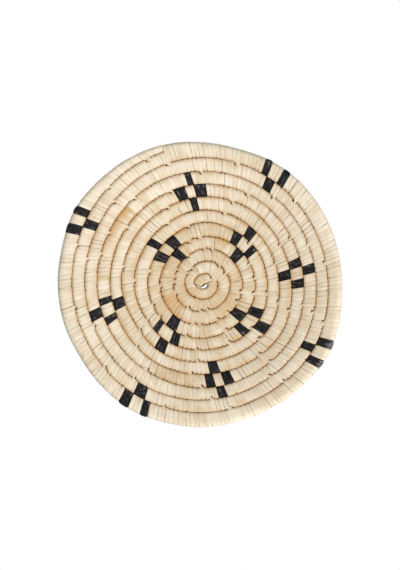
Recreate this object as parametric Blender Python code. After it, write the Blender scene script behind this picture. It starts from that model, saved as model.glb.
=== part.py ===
"""A coiled bamboo wall plate with twelve dark diamond motifs.

One core bundle winds outwards, clockwise as seen from the front, in almost eleven turns. Flat light
strips wrap it, turn after turn, and dark strips take their place over short lengths. The rounds lie
side by side and form a shallow dish, which hangs upright with its hollow face towards -Y. The middle
of the centre hole, on the wall's plane, is the origin.

Angles along the coil are unwound: 0 degrees points right (+X), they grow clockwise, and each
further turn adds 360.
"""

import math

import bmesh
import bpy
from mathutils import Vector

# Rounds of the coil
PITCH = 0.0134
THICKNESS = 0.0096
TURN_GAP = 0.0006
EDGE_CHAMFER = 0.0019

# Core, strips and their clearances
CORE_RADIUS = 0.0032
SEAT_GAP = 0.0003
DARK_WALL = 0.0006
END_COVER = 0.0020
CORE_REACH_SHARE = 0.55
MERGE_DISTANCE = 0.000003

# Dish
FLOOR_RADIUS = 0.028
SLOPE_LENGTH = 0.080
SLOPE_ANGLE = math.radians(18)

# Centre hole, and the centre that the full rounds share, measured from it
HOLE_RADIUS = 0.0023
HOLE_PINCH = 0.0009
HOLE_AZIMUTH = 15
ROUNDS_CENTRE_X = -0.0005
ROUNDS_CENTRE_Z = 0.0035

# Unwound angles, in degrees
STATION_STEP = 15
TURN = 360
COIL_START = -175
COIL_END = 3853
JOIN_AZIMUTH = 342
CENTRE_MOVE = (450, 810)
START_SWELL = (-175, -110)
END_TAPER = (3804, 3853)
RIM_STEP = (3853.25, 3854.25)
NEIGHBOUR_TURNS = (0.75, 1.25)

# Thickness at the coil's start and at its end
START_THICKNESS_SHARE = 0.72
END_THICKNESS_SHARE = 0.72

# Hand-made roundness: how far the rounds leave a true circle, twice and three times a turn
OVAL_SHARE = 0.007
OVAL_AZIMUTH = 102
TRIANGLE_SHARE = 0.006
TRIANGLE_AZIMUTH = -23

# Seam between neighbouring rounds near the centre: (unwound angle, radius as a share of the pitch)
FULL_ROUNDS_FROM = 990
SEAM_LAG_SHARE = 0.02
INNER_SEAM_SHARES = (
    (205, 0.94),
    (270, 0.99),
    (340, 1.08),
    (450, 1.02),
    (503, 1.27),
    (559, 1.59),
    (637, 1.86),
    (705, 2.06),
    (810, 2.20),
    (900, 2.42),
    (FULL_ROUNDS_FROM, 2.73),
)
HOLE_ROUND_UNTIL = 150

# How far the hand-made seam leaves that even spiral, every 30 degrees, as a share of the pitch: a row a turn
SEAM_SHIFT_STEP = 30
SEAM_SHIFTS_FROM = 390
SEAM_SHIFT_SHARES = (
    -0.12, -0.08, -0.04, -0.11, 0.01, 0.05, 0.07, -0.02, 0.01, 0.00, -0.05, -0.02,
    -0.06, -0.03, 0.01, 0.10, 0.10, 0.06, -0.10, -0.14, 0.05, -0.01, 0.05, 0.09,
    0.02, -0.02, 0.08, 0.14, 0.07, 0.11, -0.12, -0.14, -0.06, 0.01, 0.10, 0.12,
    0.09, 0.03, 0.16, 0.19, 0.04, 0.07, -0.07, -0.12, 0.09, 0.01, 0.17, 0.08,
    0.19, 0.08, 0.09, 0.19, 0.03, 0.18, 0.00, -0.05, 0.05, 0.04, 0.02, 0.03,
    0.23, 0.09, 0.07, 0.21, -0.02, 0.24, 0.13, 0.03, 0.12, 0.20, 0.05, 0.04,
    0.28, 0.13, 0.06, 0.14, 0.05, 0.14, 0.13, 0.10, 0.16, 0.21, 0.10, 0.08,
    0.19, 0.09, 0.23, 0.10, 0.07, 0.24, 0.21, 0.25, 0.19, 0.17, 0.17, 0.08,
    0.17, 0.05, 0.19, 0.23, 0.12, 0.24, 0.21, 0.28, 0.28, 0.17, 0.09, 0.03,
    0.18, 0.04, 0.20, 0.22, 0.14, 0.27, 0.32, 0.27,
)

# The plate's rim on the same terms, every 15 degrees. It steps out past the coil's end, where the last
# strips reach over two rounds.
RIM_SHIFT_STEP = 15
RIM_SHIFTS_FROM = 3870
RIM_STEP_SHARES = (0.27, 0.74)
RIM_SHIFT_SHARES = (
    0.40, 0.22, 0.38, 0.42, 0.33, 0.21, 0.11, 0.19, 0.41, 0.21, 0.15, 0.20,
    0.34, 0.30, 0.41, 0.26, 0.16, 0.31, 0.36, 0.33, 0.49, 0.18, -0.04, -0.25,
)

# Motifs: the round of the inner dark square, then the azimuths, clockwise from +X, between which
# each square lies. The pair is one round further out, and the outer square two.
MOTIFS = (
    {"round": 2, "inner": (313.5, 327), "left": (300.5, 310.5),
     "right": (322.5, 330), "outer": (308.5, 317)},
    {"round": 2, "inner": (221, 235), "left": (205, 216.5), "right": (227.5, 238.5), "outer": (215, 221.5)},
    {"round": 3, "inner": (120.5, 133.5), "left": (113, 121.5),
     "right": (133.5, 140), "outer": (120, 128.5)},
    {"round": 3, "inner": (36, 49), "left": (25, 34.5), "right": (46.5, 55), "outer": (33, 41.5)},
    {"round": 5, "inner": (351.5, 358), "left": (345.5, 351), "right": (357.5, 363), "outer": (350, 355)},
    {"round": 5, "inner": (260.5, 265.5), "left": (252.5, 259.5),
     "right": (264.5, 271.5), "outer": (260, 263.5)},
    {"round": 6, "inner": (163.5, 170.5), "left": (157, 161.5), "right": (168, 172), "outer": (161, 166.5)},
    {"round": 6, "inner": (80, 87), "left": (73.5, 79), "right": (84, 89.5), "outer": (78.5, 83)},
    {"round": 8, "inner": (301, 305.5), "left": (297, 300.5), "right": (305.5, 309)},
    {"round": 9, "inner": (205, 209.5), "left": (200.5, 204.5), "right": (208.5, 212)},
    {"round": 9, "inner": (117.5, 123), "left": (113.5, 117), "right": (122, 126.5)},
    {"round": 9, "inner": (29.5, 33.5), "left": (24.5, 28.5), "right": (33.5, 37)},
)
ROUNDS_FURTHER_OUT = {"inner": 0, "left": 1, "right": 1, "outer": 2}

# Finish
SHARP_EDGE = math.radians(40)
LIGHT_ROUGHNESS = 0.55
DARK_ROUGHNESS = 0.40
FIBRE_ROUGHNESS = 0.80

# Colours, linear
LIGHT_STRIP = (0.73, 0.58, 0.38, 1.0)
DARK_STRIP = (0.018, 0.016, 0.015, 1.0)
CORE_FIBRE = (0.42, 0.29, 0.15, 1.0)

# Azimuths of the sections that the rounds are lofted through, the same in every turn
STATION_AZIMUTHS = sorted((*range(0, TURN, STATION_STEP), *(angle % TURN for angle in RIM_STEP)))


def share_between(value, limits):
    """How far a value lies between two limits, eased at both ends, from 0 to 1."""
    linear = min(1, max(0, (value - limits[0]) / (limits[1] - limits[0])))
    return linear * linear * (3 - 2 * linear)


def hole_edge(angle):
    """Radius of the pinched centre hole at an unwound angle."""
    return HOLE_RADIUS + HOLE_PINCH * math.cos(2 * math.radians(-angle - HOLE_AZIMUTH))


def share_at(angle, knots):
    """The share at an unwound angle, on straight lines from knot to knot."""
    for (from_angle, from_share), (to_angle, to_share) in zip(knots, knots[1:]):
        if angle <= to_angle:
            part = max(0, (angle - from_angle) / (to_angle - from_angle))
            return from_share + part * (to_share - from_share)
    return knots[-1][1]


def shift_knots():
    """Every unwound angle at which the seam's shift is known, with the shift."""
    seam = [(SEAM_SHIFTS_FROM + SEAM_SHIFT_STEP * k, share) for k, share in enumerate(SEAM_SHIFT_SHARES)]
    rim = [(RIM_SHIFTS_FROM + RIM_SHIFT_STEP * k, share) for k, share in enumerate(RIM_SHIFT_SHARES)]
    return [(SEAM_SHIFTS_FROM - SEAM_SHIFT_STEP, 0), *seam, *zip(RIM_STEP, RIM_STEP_SHARES), *rim]


SHIFT_KNOTS = shift_knots()


def inner_seam(angle):
    """Radius at which a round's inner side starts, along the dish from the seam's centre."""
    if angle <= HOLE_ROUND_UNTIL:
        return hole_edge(angle)
    if angle < FULL_ROUNDS_FROM:
        share = share_at(angle, ((HOLE_ROUND_UNTIL, hole_edge(HOLE_ROUND_UNTIL) / PITCH), *INNER_SEAM_SHARES))
    else:
        share = angle / TURN - SEAM_LAG_SHARE
    return PITCH * (share + share_at(angle, SHIFT_KNOTS))


def seam_point(angle):
    """The seam at an unwound angle, on the dish laid flat about the centre of the full rounds."""
    azimuth = math.radians(-angle)
    oval = OVAL_SHARE * math.cos(2 * (azimuth - math.radians(OVAL_AZIMUTH)))
    triangle = TRIANGLE_SHARE * math.cos(3 * (azimuth - math.radians(TRIANGLE_AZIMUTH)))
    radius = inner_seam(angle) * (1 + oval + triangle)
    still_at_hole = 1 - share_between(angle, CENTRE_MOVE)
    centre = Vector((-ROUNDS_CENTRE_X, -ROUNDS_CENTRE_Z)) * still_at_hole
    return centre + radius * Vector((math.cos(azimuth), math.sin(azimuth)))


def dish_at(along):
    """Radius, rise and slope of the dish's middle surface, this far along it from the centre."""
    bend = SLOPE_LENGTH / SLOPE_ANGLE
    if along <= FLOOR_RADIUS:
        return along, 0, 0
    if along <= FLOOR_RADIUS + SLOPE_LENGTH:
        slope = (along - FLOOR_RADIUS) / bend
        return FLOOR_RADIUS + bend * math.sin(slope), bend * (1 - math.cos(slope)), slope
    rest = along - FLOOR_RADIUS - SLOPE_LENGTH
    radius = FLOOR_RADIUS + bend * math.sin(SLOPE_ANGLE) + rest * math.cos(SLOPE_ANGLE)
    rise = bend * (1 - math.cos(SLOPE_ANGLE)) + rest * math.sin(SLOPE_ANGLE)
    return radius, rise, SLOPE_ANGLE


def section_at(angle):
    """Centre, side axis, face axis, half width and half thickness of the wrapped coil."""
    inside = seam_point(angle)
    across = seam_point(angle + TURN) - inside
    middle = inside + across / 2
    half_width = (across.length - TURN_GAP) / 2
    half_thickness = THICKNESS / 2
    half_thickness *= START_THICKNESS_SHARE + (1 - START_THICKNESS_SHARE) * share_between(angle, START_SWELL)
    half_thickness *= 1 - (1 - END_THICKNESS_SHARE) * share_between(angle, END_TAPER)

    radius, rise, slope = dish_at(middle.length)
    outward = middle.normalized()
    side = across.normalized()
    along_slope = side.dot(outward)
    tangent = side - along_slope * outward
    level = math.cos(slope) * along_slope * outward + tangent
    centre = Vector((ROUNDS_CENTRE_X, -THICKNESS / 2 - rise, ROUNDS_CENTRE_Z))
    centre += Vector((outward.x, 0, outward.y)) * radius
    side_axis = Vector((level.x, -math.sin(slope) * along_slope, level.y))
    face_axis = Vector((-math.sin(slope) * outward.x, -math.cos(slope), -math.sin(slope) * outward.y))
    return centre, side_axis, face_axis, half_width, half_thickness


def station_ring(angle, inset):
    """The eight corners of the wrapped coil's section, moved in by the inset on every side."""
    centre, side, face, half_width, half_thickness = section_at(angle)
    wide = half_width - inset
    thick = half_thickness - inset
    chamfer = EDGE_CHAMFER * half_thickness / (THICKNESS / 2) - inset * (2 - math.sqrt(2))
    quarter = ((wide, thick - chamfer), (wide - chamfer, thick))
    corners = (
        *quarter,
        *((-x, y) for x, y in reversed(quarter)),
        *((-x, -y) for x, y in quarter),
        *((x, -y) for x, y in reversed(quarter)),
    )
    return [centre + side * x + face * y for x, y in corners]


def stations_between(start, end):
    """The stations that lie inside a stretch of the coil, at the same azimuths in every turn."""
    turns = range(math.floor(start / TURN), math.ceil(end / TURN))
    stations = [TURN * turn + azimuth for turn in turns for azimuth in STATION_AZIMUTHS]
    return [station for station in stations if start < station < end]


def facet_at(angle):
    """The stations on either side of an unwound angle, and its share of the way between them."""
    turns = TURN * math.floor(angle / TURN)
    first = max(azimuth for azimuth in STATION_AZIMUTHS if azimuth <= angle - turns)
    following = min(azimuth for azimuth in (*STATION_AZIMUTHS, TURN) if azimuth > angle - turns)
    return turns + first, turns + following, (angle - turns - first) / (following - first)


def ring_at(angle, inset):
    """A section's ring, on the straight facets that run from station to station."""
    first, following, part = facet_at(angle)
    near = station_ring(first, inset)
    if part == 0:
        return near
    far = station_ring(following, inset)
    return [a.lerp(b, part) for a, b in zip(near, far)]


def core_at_station(angle):
    """The core's middle in a section: half way across, but never far from the inner seam."""
    centre, side, _, half_width, _ = section_at(angle)
    half_way = half_width + TURN_GAP / 2
    return centre - side * max(0, half_way - CORE_REACH_SHARE * PITCH)


def core_at(angle):
    """The core's middle, on the straight facets that run from station to station."""
    first, following, part = facet_at(angle)
    return core_at_station(first).lerp(core_at_station(following), part)


def degrees_along(length, angle):
    """The unwound degrees that a length along the core takes, just before an angle."""
    return length / (core_at(angle) - core_at(angle - 1)).length


def add_object(name, mesh, material, collection):
    obj = bpy.data.objects.new(name, mesh)
    mesh.materials.append(material)
    mesh.shade_smooth()
    mesh.set_sharp_from_angle(angle=SHARP_EDGE)
    collection.objects.link(obj)
    return obj


def lofted_mesh(name, outer_rings, inner_rings=None):
    """A closed tube through rings of corners: solid with flat ends, or with a bore through it."""
    bm = bmesh.new()
    walls = []
    for rings in (outer_rings, inner_rings):
        if rings is None:
            continue
        made = [[bm.verts.new(corner) for corner in ring] for ring in rings]
        count = len(made[0])
        for ring, following in zip(made, made[1:]):
            for k in range(count):
                after = (k + 1) % count
                bm.faces.new((ring[k], ring[after], following[after], following[k]))
        walls.append(made)
    for end in (0, -1):
        if inner_rings is None:
            bm.faces.new(walls[0][end])
            continue
        outer, inner = walls[0][end], walls[1][end]
        for k in range(len(outer)):
            after = (k + 1) % len(outer)
            bm.faces.new((outer[k], outer[after], inner[after], inner[k]))
    bmesh.ops.recalc_face_normals(bm, faces=bm.faces)
    mesh = bpy.data.meshes.new(name)
    bm.to_mesh(mesh)
    bm.free()
    return mesh


def core_share(angle):
    """The core's radius as a share of its full one: it thins with the coil at both ends."""
    thickness_share = section_at(angle)[4] / (THICKNESS / 2)
    return max(0.0, 1 - (1 - thickness_share) * THICKNESS / 2 / CORE_RADIUS)


def core_limits():
    """The unwound angles between which the core lies, under the strips that close both ends."""
    start = COIL_START + degrees_along(END_COVER, COIL_START)
    end = COIL_END - degrees_along(END_COVER, COIL_END)
    return start, end


def coil_tube(name, clearance, collection):
    """One unbroken six-sided tube along the whole coil, from a curve with a bevel."""
    start, end = core_limits()
    start -= degrees_along(clearance, start)
    end += degrees_along(clearance, end)
    angles = [start, *stations_between(start, end), end]
    curve = bpy.data.curves.new(name + "_curve", "CURVE")
    curve.dimensions = "3D"
    curve.bevel_depth = CORE_RADIUS + clearance
    curve.bevel_resolution = 1
    curve.use_fill_caps = True
    spline = curve.splines.new("POLY")
    spline.points.add(len(angles) - 1)
    for point, angle in zip(spline.points, angles):
        point.co = (*core_at(angle), 1)
        point.radius = (CORE_RADIUS * core_share(angle) + clearance) / (CORE_RADIUS + clearance)
    guide = bpy.data.objects.new(name + "_guide", curve)
    collection.objects.link(guide)
    bpy.context.view_layer.update()
    evaluated = guide.evaluated_get(bpy.context.evaluated_depsgraph_get())
    mesh = bpy.data.meshes.new_from_object(evaluated)
    mesh.name = name
    bpy.data.objects.remove(guide)
    bpy.data.curves.remove(curve)
    bm = bmesh.new()
    bm.from_mesh(mesh)
    bmesh.ops.remove_doubles(bm, verts=bm.verts, dist=MERGE_DISTANCE)
    bmesh.ops.recalc_face_normals(bm, faces=bm.faces)
    bm.to_mesh(mesh)
    bm.free()
    return mesh


def dark_squares():
    """Name, start and end of each dark stretch of the coil, as unwound angles."""
    squares = []
    for number, motif in enumerate(MOTIFS, start=1):
        for place, further in ROUNDS_FURTHER_OUT.items():
            if place in motif:
                turns = TURN * (motif["round"] + further)
                from_angle, to_angle = motif[place]
                squares.append((f"dark_wrap_{number:02d}_{place}", turns + from_angle, turns + to_angle))
    return squares


def light_wrap_rings(start, end, squares):
    """Rings of one light stretch, which steps down under each dark one."""
    carried = DARK_WALL + SEAT_GAP
    inset_at = {}
    for _, from_angle, to_angle in squares:
        if start < from_angle and to_angle < end:
            inset_at[from_angle] = (0, carried)
            inset_at[to_angle] = (carried, 0)
    inset = 0
    rings = [ring_at(start, inset)]
    for angle in sorted({*stations_between(start, end), *inset_at}):
        if angle in inset_at:
            before, inset = inset_at[angle]
            rings.append(ring_at(angle, before))
        rings.append(ring_at(angle, inset))
    rings.append(ring_at(end, inset))
    return rings


def join_angles():
    """Where one light stretch ends and the next begins, once a turn."""
    return [JOIN_AZIMUTH + TURN * k for k in range(math.ceil((COIL_END - JOIN_AZIMUTH) / TURN))]


def light_wraps(squares, bore, material, collection):
    """The light strips, one node a turn, round the core's bore."""
    joins = join_angles()
    starts = [COIL_START, *joins]
    ends = [*joins, COIL_END]
    for number, (start, end) in enumerate(zip(starts, ends), start=1):
        if end in joins:
            end -= degrees_along(SEAT_GAP, end)
        name = f"light_wrap_turn_{number:02d}"
        mesh = lofted_mesh(name, light_wrap_rings(start, end, squares))
        wrap = add_object(name, mesh, material, collection)
        cut = wrap.modifiers.new("core_bore", "BOOLEAN")
        cut.operation = "DIFFERENCE"
        cut.solver = "EXACT"
        cut.object = bore


def dark_wraps(squares, material, collection):
    """The dark strips: a short sleeve each, seated in the step of the light ones."""
    for name, start, end in squares:
        clearance = degrees_along(SEAT_GAP, start)
        start += clearance
        end -= clearance
        angles = [start, *stations_between(start, end), end]
        outer = [ring_at(angle, 0) for angle in angles]
        inner = [ring_at(angle, DARK_WALL) for angle in angles]
        middle = core_at((start + end) / 2)
        outer = [[corner - middle for corner in ring] for ring in outer]
        inner = [[corner - middle for corner in ring] for ring in inner]
        wrap = add_object(name, lofted_mesh(name, outer, inner), material, collection)
        wrap.location = middle


def least_gaps():
    """Least distance between a turn and the next: of the wrapped coil, and of its core."""
    start, end = core_limits()
    wrapped = core = math.inf
    for angle in stations_between(COIL_START, COIL_END - TURN):
        least, most = (angle + TURN * turns for turns in NEIGHBOUR_TURNS)
        for further in stations_between(least, min(most, COIL_END)):
            near, far = ring_at(angle, 0), ring_at(further, 0)
            wrapped = min(wrapped, *((a - b).length for a in near for b in far))
            if start < angle and further < end:
                apart = (core_at(angle) - core_at(further)).length
                core = min(core, apart - 2 * CORE_RADIUS)
    return wrapped, core


def strip_material(name, colour, roughness):
    material = bpy.data.materials.new(name)
    material.use_nodes = True
    shader = material.node_tree.nodes["Principled BSDF"]
    shader.inputs["Base Color"].default_value = colour
    shader.inputs["Roughness"].default_value = roughness
    shader.inputs["Metallic"].default_value = 0.0
    return material


def clear_scene():
    for obj in list(bpy.data.objects):
        bpy.data.objects.remove(obj)


def new_collection(name):
    collection = bpy.data.collections.new(name)
    bpy.context.scene.collection.children.link(collection)
    return collection


def main():
    clear_scene()
    plate = new_collection("bamboo_wall_plate")
    cutters = new_collection("cutters")
    cutters.hide_render = True

    light = strip_material("light_strip", LIGHT_STRIP, LIGHT_ROUGHNESS)
    dark = strip_material("dark_strip", DARK_STRIP, DARK_ROUGHNESS)
    fibre = strip_material("core_fibre", CORE_FIBRE, FIBRE_ROUGHNESS)

    add_object("coil_core", coil_tube("coil_core", 0, plate), fibre, plate)
    bore = add_object("core_bore", coil_tube("core_bore", SEAT_GAP, cutters), fibre, cutters)
    bore.hide_render = True
    bore.display_type = "WIRE"

    squares = dark_squares()
    light_wraps(squares, bore, light, plate)
    dark_wraps(squares, dark, plate)

    wall_point = bpy.data.objects.new("wall_plate", None)
    plate.objects.link(wall_point)
    for obj in plate.objects:
        if obj.type == "MESH":
            obj.parent = wall_point

    wrapped, core = least_gaps()
    print(f"least gap between turns: {wrapped * 1000:.2f} mm wrapped, {core * 1000:.2f} mm core to core")


main()
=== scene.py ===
"""Looks of a coiled wall plate: light split strips wrapped over a core, with dark diamond motifs."""

import logging  # noqa: E402
import math  # noqa: E402
from collections.abc import Callable, Mapping, Sequence  # noqa: E402
from dataclasses import dataclass, field  # noqa: E402
from enum import Enum  # noqa: E402
from typing import Any  # noqa: E402

import bpy  # noqa: E402
import numpy as np  # noqa: E402
from numpy.typing import NDArray  # noqa: E402
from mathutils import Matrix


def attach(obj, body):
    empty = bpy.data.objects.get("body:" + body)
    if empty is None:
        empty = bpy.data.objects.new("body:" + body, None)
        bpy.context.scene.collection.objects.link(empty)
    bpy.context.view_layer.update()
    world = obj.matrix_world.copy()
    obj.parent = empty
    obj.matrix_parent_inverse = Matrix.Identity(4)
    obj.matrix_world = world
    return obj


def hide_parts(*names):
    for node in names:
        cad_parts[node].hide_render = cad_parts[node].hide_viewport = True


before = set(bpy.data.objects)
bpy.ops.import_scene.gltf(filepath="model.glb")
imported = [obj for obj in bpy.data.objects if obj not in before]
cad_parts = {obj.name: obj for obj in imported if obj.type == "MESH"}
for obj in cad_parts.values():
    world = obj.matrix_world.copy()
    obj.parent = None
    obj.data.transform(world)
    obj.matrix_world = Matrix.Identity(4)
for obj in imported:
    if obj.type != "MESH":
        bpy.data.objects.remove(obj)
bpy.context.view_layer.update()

LOG = logging.getLogger("wall_plate")
Array = NDArray[np.float64]
Dice = np.random.Generator
Settings = Mapping[Any, Any]
Colour = tuple[float, ...]
Pair = tuple[float, float]
Piece = bpy.types.Object
BODY = "root"
TURN = 360.0


class Slot(Enum):
    """The record's material slots."""

    LIGHT = "light_strip"
    DARK = "dark_strip"
    CORE = "core_fibre"


class Wrap(Enum):
    """What a stretch of the coil is wrapped in."""

    LIGHT = "light"
    DARK = "dark"


class Side(Enum):
    """The two faces of the plate: the hollow front and the back."""

    FRONT = 1
    BACK = -1


def eased(value: Array | float, low: float, high: float) -> Array:
    """How far a value lies between two limits, eased at both ends.

    Args:
        value: The number or numbers to place.
        low: Where the share is 0.
        high: Where the share is 1.

    Returns:
        The share for each value.
    """
    linear = np.clip((np.asarray(value, float) - low) / (high - low), 0, 1)
    return linear * linear * (3 - 2 * linear)


def operator(operation: str, reflected: bool = False) -> Callable[["Wire", Any], "Wire"]:
    """Makes the method that stands for one operator between two wires or numbers.

    Args:
        operation: The Math node's operation.
        reflected: Whether the other value comes first.

    Returns:
        The method.
    """

    def method(wire: "Wire", other: Any) -> "Wire":
        """Adds a Math node over the wire and the other value."""
        return wire.math(operation, *((other, wire) if reflected else (wire, other)))

    return method


class Wire:
    """A node's output that takes part in Python expressions with numbers and other wires."""

    __add__ = operator("ADD")
    __radd__ = operator("ADD", reflected=True)
    __sub__ = operator("SUBTRACT")
    __rsub__ = operator("SUBTRACT", reflected=True)
    __mul__ = operator("MULTIPLY")
    __rmul__ = operator("MULTIPLY", reflected=True)
    __truediv__ = operator("DIVIDE")
    __rtruediv__ = operator("DIVIDE", reflected=True)
    __pow__ = operator("POWER")
    at_most = operator("MINIMUM")
    at_least = operator("MAXIMUM")

    def __init__(self, sheet: "NodeSheet", socket: Any) -> None:
        """Keeps the sheet that new nodes go on, and the socket."""
        self.sheet = sheet
        self.socket = socket

    def math(self, operation: str, *values: Any) -> "Wire":
        """Adds one Math node over these values."""
        return self.sheet.node("ShaderNodeMath", {"operation": operation}, dict(enumerate(values)))

    def __abs__(self) -> "Wire":
        """Distance from zero."""
        return self.math("ABSOLUTE", self)

    def floor(self) -> "Wire":
        """The whole number below."""
        return self.math("FLOOR", self)

    def share(self, low: float, high: float) -> "Wire":
        """How far this lies between two numbers, eased at both ends.

        Args:
            low: Where the share is 0.
            high: Where the share is 1; it may be the lower number.

        Returns:
            The share.
        """
        values = {"Value": self, "From Min": low, "From Max": high}
        if low > high:
            values = {"Value": self, "From Min": high, "From Max": low, "To Min": 1.0, "To Max": 0.0}
        return self.sheet.node("ShaderNodeMapRange", {"interpolation_type": "SMOOTHSTEP"}, values)


class NodeSheet:
    """The node tree of one material or of the world."""

    def __init__(self, tree: Any) -> None:
        """Starts on an empty tree."""
        self.tree = tree
        tree.nodes.clear()

    def node(self, kind: str, settings: Settings, values: Settings, output: Any = 0) -> Wire:
        """Adds a node.

        Args:
            kind: The node's type.
            settings: Its own properties, set first.
            values: What goes into its sockets, by name or number: a Wire is linked, the rest is set.
            output: The name or number of the output that is handed on.

        Returns:
            That output.
        """
        made = self.tree.nodes.new(kind)
        for name, value in settings.items():
            setattr(made, name, value)
        for name, value in values.items():
            if isinstance(value, Wire):
                self.tree.links.new(value.socket, made.inputs[name])
            else:
                made.inputs[name].default_value = value
        return Wire(self, made.outputs[output] if made.outputs else None)

    def more(self, wire: Wire, *outputs: str) -> list[Wire]:
        """Further outputs of the node that a wire comes from."""
        return [Wire(self, wire.socket.node.outputs[name]) for name in outputs]

    def attribute(self, name: str, output: str = "Fac") -> Wire:
        """Reads one of the piece's own attributes."""
        return self.node("ShaderNodeAttribute", {"attribute_name": name}, {}, output)

    def lay(self) -> list[Wire]:
        """A strip's number and share along the coil, and the places across and through the coil."""
        first = self.node("ShaderNodeSeparateXYZ", {}, {0: self.attribute("lay", "Vector")}, "X")
        return [first, *self.more(first, "Y", "Z")]

    def noise(self, place: Sequence[Wire], detail: float, roughness: float = 0.5) -> Wire:
        """Soft noise.

        Args:
            place: Where, as three numbers.
            detail: How many finer layers it has.
            roughness: How strong the finer layers are.

        Returns:
            A number from 0 to 1.
        """
        vector = self.node("ShaderNodeCombineXYZ", {}, dict(enumerate(place)))
        values = {"Vector": vector, "Scale": 1.0, "Detail": detail, "Roughness": roughness}
        return self.node("ShaderNodeTexNoise", {}, values, "Fac")

    def dice(self, number: Wire) -> Wire:
        """One number from 0 to 1 for each whole number."""
        return self.node("ShaderNodeTexWhiteNoise", {"noise_dimensions": "1D"}, {"W": number}, "Value")

    def mix(self, share: Wire, first: Any, second: Any) -> Wire:
        """Mixes two colours by a share."""
        settings = {"data_type": "RGBA", "blend_type": "MIX", "clamp_factor": True}
        return self.node("ShaderNodeMix", settings, {0: share, 6: first, 7: second}, 2)

    def coat(
        self, colour: Wire, roughness: Any, gloss: float, height: Wire, bump: float, relief: float
    ) -> Wire:
        """A surface with fine relief.

        Args:
            colour: Its colour.
            roughness: Its roughness.
            gloss: Its specular level.
            height: What the relief follows.
            bump: The relief's strength.
            relief: The relief's depth.

        Returns:
            The shader.
        """
        values = {"Strength": bump, "Distance": relief, "Height": height}
        normal = self.node("ShaderNodeBump", {}, values, "Normal")
        values = {"Base Color": colour, "Roughness": roughness, "Specular IOR Level": gloss, "Normal": normal}
        return self.node("ShaderNodeBsdfPrincipled", {}, values)


def linear(*levels: int) -> Colour:
    """A colour as the screen shows it, 0 to 255 a channel, in linear light."""
    shares = [level / 255 for level in levels]
    return (*(s / 12.92 if s <= 0.04045 else ((s + 0.055) / 1.055) ** 2.4 for s in shares), 1.0)


@dataclass(frozen=True)
class Finish:
    """What all finishes share: each makes a material of its own from one surface."""

    def surface(self, sheet: NodeSheet) -> Wire:
        """Lays the nodes out and hands on the shader."""
        raise NotImplementedError

    def build(self, name: str) -> bpy.types.Material:
        """Makes the material.

        Args:
            name: The material's name.

        Returns:
            The material.
        """
        material = bpy.data.materials.new(name)
        material.use_nodes = True
        sheet = NodeSheet(material.node_tree)
        sheet.node("ShaderNodeOutputMaterial", {}, {"Surface": self.surface(sheet)})
        return material


@dataclass(frozen=True)
class LightStripFinish(Finish):
    """Straw-coloured split strips: fibres along each, faint dark borders, a warm tint with painted shade
    towards the seams, and painted brown shade in the seam grooves.
    """

    straw: Colour = linear(221, 200, 166)
    cream: Colour = linear(251, 239, 217)
    honey: Colour = linear(216, 172, 112)
    border: Colour = linear(98, 74, 46)
    # Warm tint with painted shade towards the seams, then painted brown shade in the seam grooves.
    tan_and_shade: Colour = linear(209, 161, 95)
    seam: Colour = linear(74, 41, 8)
    roughness: float = 0.47
    gloss: float = 0.15
    bump: float = 0.35
    relief: float = 0.0004
    bands: float = 7.0
    fibres: float = 22.0
    group_size: float = 6.0

    def surface(self, sheet: NodeSheet) -> Wire:
        """Lays the nodes out.

        Args:
            sheet: The material's sheet.

        Returns:
            The shader, which reads the attributes lay, sink and gold.
        """
        strip, across, depth = sheet.lay()
        sink, gold = sheet.attribute("sink"), sheet.attribute("gold")
        # Each strip and each group of strips has its own tone, with bands and fine fibres along it.
        number = strip.floor()
        own = sheet.dice(number + 0.5)
        group = sheet.dice((number / self.group_size + sheet.dice(number + 3.3) * 0.6).floor() + 0.5)
        fibre = sheet.noise((strip * self.bands, across * 0.7 + own * 9, depth * 0.5), 3, 0.6)
        fine = sheet.noise((strip * self.fibres, across * 1.2 + own * 5, depth), 2, 0.6)
        cloud = sheet.noise((strip * 0.3, across * 0.8, depth), 2)
        tone = own * 0.20 + group * 0.16 + fibre * 0.56 + fine * 0.30 + cloud * 0.5 + gold * 0.45 - 0.36
        colour = sheet.mix(tone.share(0.12, 0.85), self.cream, self.straw)
        warm = (gold + (cloud - 0.5) * 0.8 + (group - 0.5) * 0.4 + (fibre - 0.5) * 0.15).share(0.05, 1.1)
        colour = sheet.mix(warm * 0.8, colour, self.honey)
        # A dark line at some borders between strips, most of them only part of the way across.
        edge = (strip + 0.5).floor()
        away = abs(strip - edge)
        ragged = away + (fibre - 0.5) * 0.05
        hand = sheet.dice(edge + 0.85).share(0.49, 0.51) * 2 - 1
        part = (across * hand + sheet.dice(edge + 0.65) * 3 - 1).share(-0.2, 0.3) * 0.85 + 0.15
        line = ragged.share(0.11, 0.02) * (sheet.dice(edge + 0.25) ** 4 * 0.85 + 0.10) * part
        colour = sheet.mix(line, colour, self.border)
        # Towards the seams a warm tint with painted shade, and painted brown shade in the seam grooves, both
        # weaker in the pale outer rounds.
        pale = gold.at_most(0.0)
        seam_tan_and_shade = (sink + (cloud - 0.5) * 0.3 + (fibre - 0.5) * 0.08).share(0.33, 0.97)
        colour = sheet.mix(seam_tan_and_shade * (pale * 1.7 + 0.70), colour, self.tan_and_shade)
        # Painted shade in the seam grooves, varying along each seam and reaching out along some strip borders
        # near the seam.
        tight = sheet.noise((strip * 0.24, across.share(-0.3, 0.3) * 7, depth * 0.2), 2)
        sunk = sink + (fibre - 0.5) * 0.05 + (tight - 0.5) * 0.10
        border_shade = ragged.share(0.24, 0.05) * sheet.dice(edge + 0.45).share(0.6, 0.8)
        colour = sheet.mix(border_shade * sunk.share(0.62, 0.88) * 0.85, colour, self.seam)
        groove_shade = sunk.share(0.80, 0.93) * (tight.share(0.36, 0.60) * 0.36 + 0.62 + pale * 1.9)
        colour = sheet.mix(groove_shade, colour, self.seam)
        height = fibre * 0.7 + fine * 0.3 - line * 0.8
        return sheet.coat(colour, self.roughness, self.gloss, height, self.bump, self.relief)


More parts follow.
